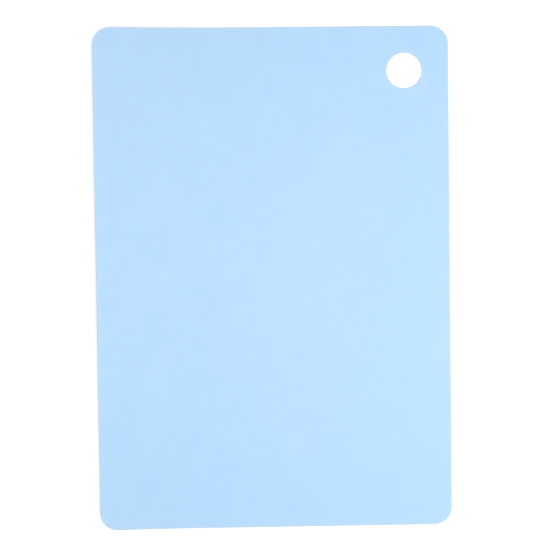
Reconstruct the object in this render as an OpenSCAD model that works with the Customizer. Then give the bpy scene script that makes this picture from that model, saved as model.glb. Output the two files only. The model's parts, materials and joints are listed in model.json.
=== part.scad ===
// Flexible plastic cutting mat: one die-cut sheet with rounded corners and a round hanging hole.
// It lies on its underside, with its long side along Y and the hole at the back right.
// The origin is on the table, under the middle of the sheet.
// The left side has taken a set and curls a little off the table, more at the back than at the front.
// A sheet can't stretch, so the curl is a piece of a cone: its straight lines all meet at one point,
// which lies on the line of the left edge, in front of the mat.

/* [Sheet] */
// Width of the sheet, left to right
sheet_width = 240; // [160:1:400]
// Length of the sheet, front to back
sheet_length = 340; // [200:1:560]
// Thickness of the plastic
sheet_thickness = 1; // [0.6:0.1:2]
// Radius of the four rounded corners
corner_radius = 12; // [4:0.5:30]

/* [Hanging hole] */
// Diameter of the hole
hole_diameter = 24; // [10:0.5:36]
// Distance from the right edge to the middle of the hole
hole_from_right = 30; // [22:0.5:60]
// Distance from the back edge to the middle of the hole
hole_from_back = 30; // [22:0.5:60]

/* [Curl] */
// Height of the back left corner's underside above the table
curl_lift = 6; // [1:0.5:12]
// Width of the curled strip at the back edge
curl_width_back = 100; // [60:1:120]
// Width of the curled strip at the front edge
curl_width_front = 50; // [20:1:55]

/* [Hidden] */
$fn = 360;

// The cutters run this far past what they cut
overcut = 5;

// Distance from the cone's tip to the back edge, along the left edge
curl_length = sheet_length * curl_width_back / (curl_width_back - curl_width_front);
// Angle between the left edge and the line where the sheet leaves the table, seen from above
curl_turn = atan(curl_width_back / curl_length);
// Where the back left corner lies, measured along that line and square to it
curl_along = curl_length * cos(curl_turn);
curl_across = curl_length * sin(curl_turn);
// Half angle of the cone that touches the table along that line and passes through the lifted corner
curl_angle = atan(curl_across ^ 2 / (2 * curl_along * curl_lift));
// Straight length of the cone, which reaches past the back edge
curl_reach = curl_length + sheet_width;
// Space that the curled strip needs above the table
curl_space = 2 * (curl_lift + sheet_thickness);

// The sheet's outline, seen from above
module outline() {
    middle_width = sheet_width - 2 * corner_radius;
    middle_length = sheet_length - 2 * corner_radius;
    square([middle_width, sheet_length], center = true);
    square([sheet_width, middle_length], center = true);
    for (side = [-1, 1], end = [-1, 1])
        translate([side * middle_width / 2, end * middle_length / 2])
            circle(r = corner_radius);
}

// Puts its children at the cone's tip, with X along the line where the sheet leaves the table
// and Y towards the curled strip
module at_curl_tip() {
    translate([-sheet_width / 2, sheet_length / 2 - curl_length, 0])
        rotate([0, 0, 90 - curl_turn])
            children();
}

// The cone that the curl follows, touching the XY plane along the X axis
module curl_cone() {
    rotate([0, 90 - curl_angle, 0])
        cylinder(h = curl_reach * cos(curl_angle), r1 = 0, r2 = curl_reach * sin(curl_angle));
}

// The part of the sheet that lies flat on the table
module flat_strip() {
    difference() {
        linear_extrude(sheet_thickness)
            outline();
        at_curl_tip()
            translate([0, 0, -overcut])
                cube([curl_reach, sheet_width + sheet_length, sheet_thickness + 2 * overcut]);
    }
}

// The part of the sheet that curls up: the wall between two cones one sheet thickness apart
module curled_strip() {
    intersection() {
        translate([0, 0, -overcut])
            linear_extrude(curl_space + overcut)
                outline();
        at_curl_tip()
            difference() {
                curl_cone();
                translate([sheet_thickness / tan(curl_angle), 0, sheet_thickness])
                    curl_cone();
                translate([-overcut, -2 * curl_reach, -2 * curl_reach])
                    cube([3 * curl_reach, 2 * curl_reach, 4 * curl_reach]);
            }
    }
}

// Cuts the round hanging hole straight through the sheet
module hanging_hole() {
    translate([sheet_width / 2 - hole_from_right, sheet_length / 2 - hole_from_back, -overcut])
        cylinder(h = curl_space + 2 * overcut, d = hole_diameter);
}

module mat_sheet() {
    color([0.72, 0.86, 0.98])
        difference() {
            union() {
                flat_strip();
                curled_strip();
            }
            hanging_hole();
        }
}

mat_sheet();
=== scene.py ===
"""Looks of a flexible plastic cutting mat: a pale blue sheet with a matt grain, rounded corners,
a punched hanging hole and a slight curl along its left side, photographed from above on white.

Lengths are in metres. The mat lies on the table at z = 0, with its long side along Y."""

import json
from math import atan, cos, radians, sin

import bpy
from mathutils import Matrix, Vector


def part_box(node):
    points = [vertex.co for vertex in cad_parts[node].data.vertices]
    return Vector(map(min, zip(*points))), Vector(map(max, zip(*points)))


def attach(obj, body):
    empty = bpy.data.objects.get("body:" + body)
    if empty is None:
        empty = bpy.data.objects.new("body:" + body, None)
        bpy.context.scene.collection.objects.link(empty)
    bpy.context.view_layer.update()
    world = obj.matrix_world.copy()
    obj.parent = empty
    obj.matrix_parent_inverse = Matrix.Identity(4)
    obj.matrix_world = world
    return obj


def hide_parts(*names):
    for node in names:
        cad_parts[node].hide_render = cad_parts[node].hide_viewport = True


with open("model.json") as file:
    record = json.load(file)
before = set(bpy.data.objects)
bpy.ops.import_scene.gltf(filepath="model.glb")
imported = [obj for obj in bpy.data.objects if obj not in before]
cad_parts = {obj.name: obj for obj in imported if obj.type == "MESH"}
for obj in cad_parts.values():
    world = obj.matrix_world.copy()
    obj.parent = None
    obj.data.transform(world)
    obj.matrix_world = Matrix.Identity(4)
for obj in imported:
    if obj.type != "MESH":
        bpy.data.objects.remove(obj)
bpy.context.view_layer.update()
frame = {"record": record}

# The sheet, as the frame gives it
sheet_low, sheet_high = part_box("mat_sheet")
SHEET_WIDTH = sheet_high.x - sheet_low.x
SHEET_LENGTH = sheet_high.y - sheet_low.y
hole = next(m for m in frame["record"]["mounts"] if m["name"] == "hanging_hole")
HOLE_CENTRE = Vector(hole["pos_m"])
HOLE_RADIUS = hole["dims"]["r_mm"] / 1000
SHEET_THICKNESS = hole["dims"]["length_mm"] / 1000

# What the frame doesn't say of the sheet
CORNER_RADIUS = 0.012
CURL_LIFT = 0.006
CURL_WIDTH_BACK = 0.100
CURL_WIDTH_FRONT = 0.050

# The curl follows a cone: its tip, which lies on the line of the left edge in front of the mat,
# the line along which the sheet leaves the table, and the cone's half angle
CURL_LENGTH = SHEET_LENGTH * CURL_WIDTH_BACK / (CURL_WIDTH_BACK - CURL_WIDTH_FRONT)
CURL_TURN = atan(CURL_WIDTH_BACK / CURL_LENGTH)
CURL_ALONG = CURL_LENGTH * cos(CURL_TURN)
CURL_ACROSS = CURL_LENGTH * sin(CURL_TURN)
CURL_ANGLE = atan(CURL_ACROSS**2 / (2 * CURL_ALONG * CURL_LIFT))
CURL_TIP = Vector((-SHEET_WIDTH / 2, SHEET_LENGTH / 2 - CURL_LENGTH, 0))
CURL_LINE = Vector((sin(CURL_TURN), cos(CURL_TURN), 0))

# How finely the sheet is modelled: the squares that it is scored into, the square panel
# that the hole is made in, and the narrow ring that is left where the panel turns round
GRID_STEP = 0.004
CORNER_SEGMENTS = 16
HOLE_PANEL = 9 * GRID_STEP
HOLE_RING = 0.0003
HOLE_CUTS = 3
DIE_SIDES = 2048

# The broken edges that the cutting die leaves
EDGE_BREAK = 0.00035
EDGE_SEGMENTS = 3
EDGE_ANGLE = radians(60)
SMOOTH_ANGLE = radians(50)

# The face of the plastic: slow clouds of colour, patches of roughness and a fine grain
PLASTIC_DEEP = (0.425, 0.658, 0.924)
PLASTIC_PALE = (0.436, 0.673, 0.936)
PLASTIC_IOR = 1.49
CLOUD_SIZE = 0.03
PATCH_SIZE = 0.006
PATCH_SMOOTH = 0.44
PATCH_ROUGH = 0.50
GRAIN_SIZE = 0.0005
GRAIN_HEIGHT = 0.0001
GRAIN_DETAIL = 3.0

# A margin of the faces is painted a little paler, standing in for light that comes through the cut edge,
# and handling has scuffed the first millimetre or two in streaks; one colour serves both
SCUFFED_AND_EDGE_LIT = (0.56, 0.76, 0.95)
MARGIN_WIDTH = 0.010
MARGIN_SHARE = 0.10
WEAR_WIDTH = 0.0016
WEAR_SHARE = 0.35
STREAK_SIZE = 0.003
STREAK_DETAIL = 4.0

# The very rim of the faces, round the outline and the hole, is painted a little whiter and greyer
RIM_GREY = (0.50, 0.67, 0.82)
RIM_GREY_WIDTH = 0.0012
RIM_GREY_SHARE = 0.9

# The cut edge, with the fine marks that the die dragged along it
EDGE_DEEP = (0.40, 0.58, 0.78)
EDGE_PALE = (0.47, 0.65, 0.83)
DRAG_SIZE = 0.0006
DRAG_HEIGHT = 0.00002
DRAG_DETAIL = 3.0
DRAG_SMOOTH = 0.30
DRAG_ROUGH = 0.42

# Most of a noise lies between these two values
NOISE_LOW = 0.3
NOISE_HIGH = 0.7
NOISE_DETAIL = 2.0

# The photograph's camera hangs over the mat and looks almost straight down, tilted in degrees
CAMERA_PLACE = (-0.0129, 0.0214, 0.7484)
CAMERA_TILT = (-1.449, -1.061, -0.719)
CAMERA_LENS = 72.0
SENSOR_WIDTH = 36.0

# The floor glows for the camera, little near the mat, so that its shadow shows, and more far away
FLOOR_DROP = 0.0002
FLOOR_SIZE = 6.0
FLOOR_PAINT = 0.8
GLOW_NEAR = 0.33
GLOW_FAR = 1.0
GLOW_START = 0.25
GLOW_END = 1.0

# The lights: an even fill from all round, a softbox overhead and a weak one at the right
FILL_STRENGTH = 0.511
OVERHEAD_PLACE = (0.0, 0.0, 1.0)
OVERHEAD_SIZE = 0.6
OVERHEAD_POWER = 4.7
SIDE_PLACE = (0.42, -0.10, 0.35)
SIDE_SIZE = 0.4
SIDE_POWER = 0.68


def deselect_all():
    """Lets go of every object, so that the next step works on its own piece alone."""
    bpy.ops.object.select_all(action="DESELECT")


def apply_modifier(piece, modifier):
    """Applies one modifier to the piece."""
    with bpy.context.temp_override(object=piece, active_object=piece):
        bpy.ops.object.modifier_apply(modifier=modifier.name)


def add_flat_sheet():
    """The sheet's underside as one flat face, with its corners rounded."""
    deselect_all()
    bpy.ops.mesh.primitive_plane_add(size=1.0, location=(0, 0, 0))
    piece = bpy.context.object
    piece.name = "cutting_mat"
    bpy.ops.object.mode_set(mode="EDIT")
    bpy.ops.transform.resize(value=(SHEET_WIDTH, SHEET_LENGTH, 1.0))
    bpy.ops.mesh.bevel(
        offset_type="OFFSET",
        offset=CORNER_RADIUS,
        segments=CORNER_SEGMENTS,
        profile=0.5,
        affect="VERTICES",
    )
    bpy.ops.object.mode_set(mode="OBJECT")
    return piece


def score_lines(half_length, direction):
    """Scores the sheet in edit mode along evenly spaced lines square to a direction."""
    steps = round(2 * half_length / GRID_STEP)
    for step in range(1, steps):
        place = direction * (step * GRID_STEP - half_length)
        bpy.ops.mesh.select_all(action="SELECT")
        bpy.ops.mesh.bisect(plane_co=place, plane_no=direction)


def score_grid():
    """Divides the sheet into small squares, so that it can curl."""
    bpy.ops.object.mode_set(mode="EDIT")
    score_lines(SHEET_WIDTH / 2, Vector((1, 0, 0)))
    score_lines(SHEET_LENGTH / 2, Vector((0, 1, 0)))
    bpy.ops.object.mode_set(mode="OBJECT")


def select_hole_panel(piece):
    """Selects the squares of the panel round the hole's centre, and ends in edit mode."""
    bpy.ops.object.mode_set(mode="EDIT")
    bpy.ops.mesh.select_mode(type="FACE")
    bpy.ops.mesh.select_all(action="DESELECT")
    bpy.ops.object.mode_set(mode="OBJECT")
    for face in piece.data.polygons:
        across = abs(face.center.x - HOLE_CENTRE.x)
        along = abs(face.center.y - HOLE_CENTRE.y)
        face.select = max(across, along) < HOLE_PANEL / 2
    bpy.ops.object.mode_set(mode="EDIT")


def selected_radius(piece):
    """Mean distance of the selected points from the hole's axis, in edit mode."""
    bpy.ops.object.mode_set(mode="OBJECT")
    rim = [v.co for v in piece.data.vertices if v.select]
    bpy.ops.object.mode_set(mode="EDIT")
    return sum((place - HOLE_CENTRE).to_2d().length for place in rim) / len(rim)


def punch_hole(piece):
    """Makes the panel one face, draws its middle in to a circle and takes that out."""
    select_hole_panel(piece)
    bpy.ops.mesh.dissolve_faces()
    bpy.ops.mesh.select_mode(type="EDGE")
    bpy.ops.mesh.subdivide(number_cuts=HOLE_CUTS)
    bpy.ops.mesh.select_mode(type="FACE")
    bpy.ops.mesh.inset(thickness=HOLE_RING)
    bpy.ops.transform.tosphere(value=1.0)
    scale = HOLE_RADIUS / selected_radius(piece)
    centre = (HOLE_CENTRE.x, HOLE_CENTRE.y, 0)
    bpy.ops.transform.resize(value=(scale, scale, 1.0), center_override=centre)
    bpy.ops.mesh.delete(type="FACE")
    bpy.ops.object.mode_set(mode="OBJECT")


def add_curl_die():
    """A large cone that lies on the table along the line where the sheet leaves it."""
    reach = CURL_LENGTH + SHEET_WIDTH
    axis = CURL_LINE * cos(CURL_ANGLE) + Vector((0, 0, 1)) * sin(CURL_ANGLE)
    depth = reach * cos(CURL_ANGLE)
    deselect_all()
    bpy.ops.mesh.primitive_cone_add(
        vertices=DIE_SIDES,
        radius1=reach * sin(CURL_ANGLE),
        radius2=0.0,
        depth=depth,
        location=CURL_TIP + axis * (depth / 2),
        rotation=(-axis).to_track_quat("Z", "Y").to_euler(),
    )
    return bpy.context.object


def press_curl(piece):
    """Lifts the left side of the sheet onto the cone, straight up."""
    left = Vector((-CURL_LINE.y, CURL_LINE.x, 0))
    curled = piece.vertex_groups.new(name="curled")
    lifted = [v.index for v in piece.data.vertices if (v.co - CURL_TIP).dot(left) > 0]
    curled.add(lifted, 1.0, "REPLACE")
    die = add_curl_die()
    press = piece.modifiers.new("press", "SHRINKWRAP")
    press.target = die
    press.vertex_group = curled.name
    press.wrap_method = "PROJECT"
    press.use_project_z = True
    press.use_positive_direction = True
    apply_modifier(piece, press)
    piece.vertex_groups.clear()
    bpy.data.meshes.remove(die.data)


def thicken(piece):
    """Gives the sheet its thickness, upwards from its underside, with the second material at its edge."""
    wall = piece.modifiers.new("wall", "SOLIDIFY")
    wall.thickness = SHEET_THICKNESS
    wall.offset = 1.0
    wall.use_even_offset = True
    wall.material_offset_rim = 1
    apply_modifier(piece, wall)


def round_edges(piece):
    """Breaks the sharp edges round the outline and the hole."""
    edge = piece.modifiers.new("edge", "BEVEL")
    edge.width = EDGE_BREAK
    edge.segments = EDGE_SEGMENTS
    edge.limit_method = "ANGLE"
    edge.angle_limit = EDGE_ANGLE
    edge.loop_slide = False
    edge.use_clamp_overlap = False
    apply_modifier(piece, edge)


def smooth(piece):
    """Shades the piece smooth, with the wide flat faces setting the normals."""
    deselect_all()
    piece.select_set(True)
    bpy.context.view_layer.objects.active = piece
    bpy.ops.object.shade_smooth_by_angle(angle=SMOOTH_ANGLE)
    even = piece.modifiers.new("even", "WEIGHTED_NORMAL")
    even.mode = "FACE_AREA"
    even.keep_sharp = True
    apply_modifier(piece, even)


def set_input(shading, socket, value):
    """Links a socket to another node's output, or sets it to a constant."""
    if isinstance(value, bpy.types.NodeSocket):
        shading.node_tree.links.new(value, socket)
    else:
        socket.default_value = value


def calculate(shading, operation, first, second):
    """One sum on two values, in a material or the world."""
    node = shading.node_tree.nodes.new("ShaderNodeMath")
    node.operation = operation
    set_input(shading, node.inputs[0], first)
    set_input(shading, node.inputs[1], second)
    return node.outputs["Value"]


def calculate_vector(shading, operation, first, second=(0, 0, 0)):
    """One sum on vectors, which gives a value if it is a length."""
    node = shading.node_tree.nodes.new("ShaderNodeVectorMath")
    node.operation = operation
    set_input(shading, node.inputs[0], first)
    set_input(shading, node.inputs[1], second)
    return node.outputs["Value" if operation == "LENGTH" else "Vector"]


def map_range(shading, value, start, end, low, high):
    """Takes a value from one range to another, and holds it inside that one."""
    ramp = shading.node_tree.nodes.new("ShaderNodeMapRange")
    set_input(shading, ramp.inputs["Value"], value)
    ramp.inputs["From Min"].default_value = start
    ramp.inputs["From Max"].default_value = end
    ramp.inputs["To Min"].default_value = low
    ramp.inputs["To Max"].default_value = high
    return ramp.outputs["Result"]


def add_noise(material, place, size, detail=NOISE_DETAIL):
    """Noise with features of about this size."""
    noise = material.node_tree.nodes.new("ShaderNodeTexNoise")
    noise.inputs["Scale"].default_value = 1 / size
    noise.inputs["Detail"].default_value = detail
    set_input(material, noise.inputs["Vector"], place)
    return noise.outputs["Fac"]


def map_noise(material, noise, low, high):
    """Maps the middle range of a noise onto two values."""
    return map_range(material, noise, NOISE_LOW, NOISE_HIGH, low, high)


def add_bump(material, height, distance):
    """A bump of this height."""
    bump = material.node_tree.nodes.new("ShaderNodeBump")
    bump.inputs["Strength"].default_value = 1.0
    bump.inputs["Distance"].default_value = distance
    set_input(material, bump.inputs["Height"], height)
    return bump.outputs["Normal"]


def mix_colours(material, factor, first, second):
    """Blends two colours, either of which may come from other nodes, by a factor."""
    mix = material.node_tree.nodes.new("ShaderNodeMix")
    mix.data_type = "RGBA"
    set_input(material, mix.inputs["Factor"], factor)
    sockets = [s for s in mix.inputs if s.type == "RGBA"]
    for socket, colour in zip(sockets, (first, second)):
        linked = isinstance(colour, bpy.types.NodeSocket)
        set_input(material, socket, colour if linked else (*colour, 1))
    return next(s for s in mix.outputs if s.type == "RGBA")


def outline_distance(material, place):
    """How far a point of the sheet lies inside the rounded outline."""
    middle = (SHEET_WIDTH / 2 - CORNER_RADIUS, SHEET_LENGTH / 2 - CORNER_RADIUS, 1.0)
    mirrored = calculate_vector(material, "ABSOLUTE", place)
    past = calculate_vector(material, "SUBTRACT", mirrored, middle)
    round_part = calculate_vector(material, "LENGTH", calculate_vector(material, "MAXIMUM", past))
    split = material.node_tree.nodes.new("ShaderNodeSeparateXYZ")
    set_input(material, split.inputs["Vector"], past)
    straight = calculate(material, "MAXIMUM", split.outputs["X"], split.outputs["Y"])
    straight_part = calculate(material, "MINIMUM", straight, 0.0)
    reach = calculate(material, "ADD", round_part, straight_part)
    return calculate(material, "SUBTRACT", CORNER_RADIUS, reach)


def hole_distance(material, place):
    """How far a point of the sheet lies from the hole's rim."""
    centre = (HOLE_CENTRE.x, HOLE_CENTRE.y, 0)
    flat_place = calculate_vector(material, "MULTIPLY", place, (1, 1, 0))
    from_centre = calculate_vector(material, "SUBTRACT", flat_place, centre)
    radius = calculate_vector(material, "LENGTH", from_centre)
    return calculate(material, "SUBTRACT", radius, HOLE_RADIUS)


def new_material(name):
    """An empty node material with its shader, its output and the piece's own coordinates."""
    material = bpy.data.materials.new(name)
    material.use_nodes = True
    nodes = material.node_tree.nodes
    nodes.clear()
    output = nodes.new("ShaderNodeOutputMaterial")
    shader = nodes.new("ShaderNodeBsdfPrincipled")
    shader.inputs["IOR"].default_value = PLASTIC_IOR
    set_input(material, output.inputs["Surface"], shader.outputs["BSDF"])
    return material, shader, nodes.new("ShaderNodeTexCoord").outputs["Object"]


def add_painted_edge_light_and_wear(material, place, colour):
    """The margin painted paler for light through the cut edge, the scuffs and the greyer rim, over the
    colour of the plastic.
    """
    from_outline = outline_distance(material, place)
    distance = calculate(material, "MINIMUM", from_outline, hole_distance(material, place))
    # Painted light: the faces are painted paler towards the outline and the hole, for light through the
    # cut edge
    lit_margin = map_range(material, distance, 0.0, MARGIN_WIDTH, MARGIN_SHARE, 0.0)
    noise = add_noise(material, place, STREAK_SIZE, STREAK_DETAIL)
    streaks = map_noise(material, noise, 0.0, WEAR_SHARE)
    near_rim = map_range(material, distance, 0.0, WEAR_WIDTH, 1.0, 0.0)
    wear = calculate(material, "MULTIPLY", streaks, near_rim)
    # One colour carries both the real scuffs and the painted edge light
    worn_and_lit = mix_colours(material, calculate(material, "ADD", lit_margin, wear), colour, SCUFFED_AND_EDGE_LIT)
    # The rim of the faces is painted whiter and greyer
    rim_grey = map_range(material, distance, 0.0, RIM_GREY_WIDTH, RIM_GREY_SHARE, 0.0)
    return mix_colours(material, rim_grey, worn_and_lit, RIM_GREY)


def grained_plastic():
    """The two faces of the sheet: pale blue plastic with a fine matt grain."""
    material, shader, place = new_material("grained_plastic")
    clouds = map_noise(material, add_noise(material, place, CLOUD_SIZE), 0.0, 1.0)
    colour = mix_colours(material, clouds, PLASTIC_DEEP, PLASTIC_PALE)
    set_input(material, shader.inputs["Base Color"], add_painted_edge_light_and_wear(material, place, colour))
    patches = map_noise(material, add_noise(material, place, PATCH_SIZE), PATCH_SMOOTH, PATCH_ROUGH)
    set_input(material, shader.inputs["Roughness"], patches)
    grain = add_noise(material, place, GRAIN_SIZE, GRAIN_DETAIL)
    set_input(material, shader.inputs["Normal"], add_bump(material, grain, GRAIN_HEIGHT))
    return material


def cut_edge():
    """The edge that the die cut: smoother than the faces, and a little greyer."""
    material, shader, place = new_material("cut_edge")
    drag = add_noise(material, place, DRAG_SIZE, DRAG_DETAIL)
    set_input(material, shader.inputs["Base Color"], mix_colours(material, drag, EDGE_DEEP, EDGE_PALE))
    set_input(material, shader.inputs["Roughness"], map_noise(material, drag, DRAG_SMOOTH, DRAG_ROUGH))
    set_input(material, shader.inputs["Normal"], add_bump(material, drag, DRAG_HEIGHT))
    return material


def make_mat():
    """The whole mat, in place of its plain CAD sheet."""
    piece = add_flat_sheet()
    score_grid()
    punch_hole(piece)
    press_curl(piece)
    piece.data.materials.append(grained_plastic())
    piece.data.materials.append(cut_edge())
    thicken(piece)
    round_edges(piece)
    smooth(piece)
    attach(piece, "root")
    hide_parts("mat_sheet")


def camera_sees(shading):
    """1 for what the camera sees, also in a mirror or through glass, and 0 for light on the object."""
    rays = shading.node_tree.nodes.new("ShaderNodeLightPath").outputs
    direct_or_mirrored = calculate(shading, "MAXIMUM", rays["Is Camera Ray"], rays["Is Glossy Ray"])
    return calculate(shading, "MAXIMUM", direct_or_mirrored, rays["Is Transmission Ray"])


def white_floor():
    """A pale floor that shows as white, and keeps the mat's shadow."""
    material = bpy.data.materials.new("white_floor")
    material.use_nodes = True
    nodes = material.node_tree.nodes
    nodes.clear()
    output = nodes.new("ShaderNodeOutputMaterial")
    paint = nodes.new("ShaderNodeBsdfDiffuse")
    paint.inputs["Color"].default_value = (FLOOR_PAINT, FLOOR_PAINT, FLOOR_PAINT, 1)
    glow = nodes.new("ShaderNodeEmission")
    both = nodes.new("ShaderNodeAddShader")
    place = nodes.new("ShaderNodeTexCoord").outputs["Object"]
    away = calculate_vector(material, "LENGTH", place)
    strength = map_range(material, away, GLOW_START, GLOW_END, GLOW_NEAR, GLOW_FAR)
    seen = calculate(material, "MULTIPLY", camera_sees(material), strength)
    set_input(material, glow.inputs["Strength"], seen)
    set_input(material, both.inputs[0], paint.outputs["BSDF"])
    set_input(material, both.inputs[1], glow.outputs["Emission"])
    set_input(material, output.inputs["Surface"], both.outputs["Shader"])
    return material


def add_floor():
    """The table that the mat lies on, just under its underside."""
    deselect_all()
    bpy.ops.mesh.primitive_plane_add(size=FLOOR_SIZE, location=(0, 0, -FLOOR_DROP))
    floor = bpy.context.object
    floor.name = "floor"
    floor.data.materials.append(white_floor())


def add_world():
    """White all round for the camera, and an even fill light for the mat."""
    world = bpy.data.worlds.new("studio")
    bpy.context.scene.world = world
    world.use_nodes = True
    background = world.node_tree.nodes["Background"]
    background.inputs["Color"].default_value = (1, 1, 1, 1)
    strength = map_range(world, camera_sees(world), 0.0, 1.0, FILL_STRENGTH, 1.0)
    set_input(world, background.inputs["Strength"], strength)


def add_softbox(name, place, size, power):
    """A square soft light at a place, turned to the middle of the mat."""
    light = bpy.data.lights.new(name, "AREA")
    light.size = size
    light.energy = power
    lamp = bpy.data.objects.new(name, light)
    bpy.context.scene.collection.objects.link(lamp)
    lamp.location = place
    lamp.rotation_euler = (-Vector(place)).to_track_quat("-Z", "Y").to_euler()


def add_camera():
    """The camera at the photograph's place and angle."""
    data = bpy.data.cameras.new("camera")
    data.lens = CAMERA_LENS
    data.sensor_width = SENSOR_WIDTH
    camera = bpy.data.objects.new("camera", data)
    bpy.context.scene.collection.objects.link(camera)
    camera.location = CAMERA_PLACE
    camera.rotation_euler = [radians(angle) for angle in CAMERA_TILT]
    bpy.context.scene.camera = camera


add_camera()
make_mat()
add_floor()
add_world()
add_softbox("overhead_softbox", OVERHEAD_PLACE, OVERHEAD_SIZE, OVERHEAD_POWER)
add_softbox("side_softbox", SIDE_PLACE, SIDE_SIZE, SIDE_POWER)
bpy.context.scene.view_settings.view_transform = "Standard"
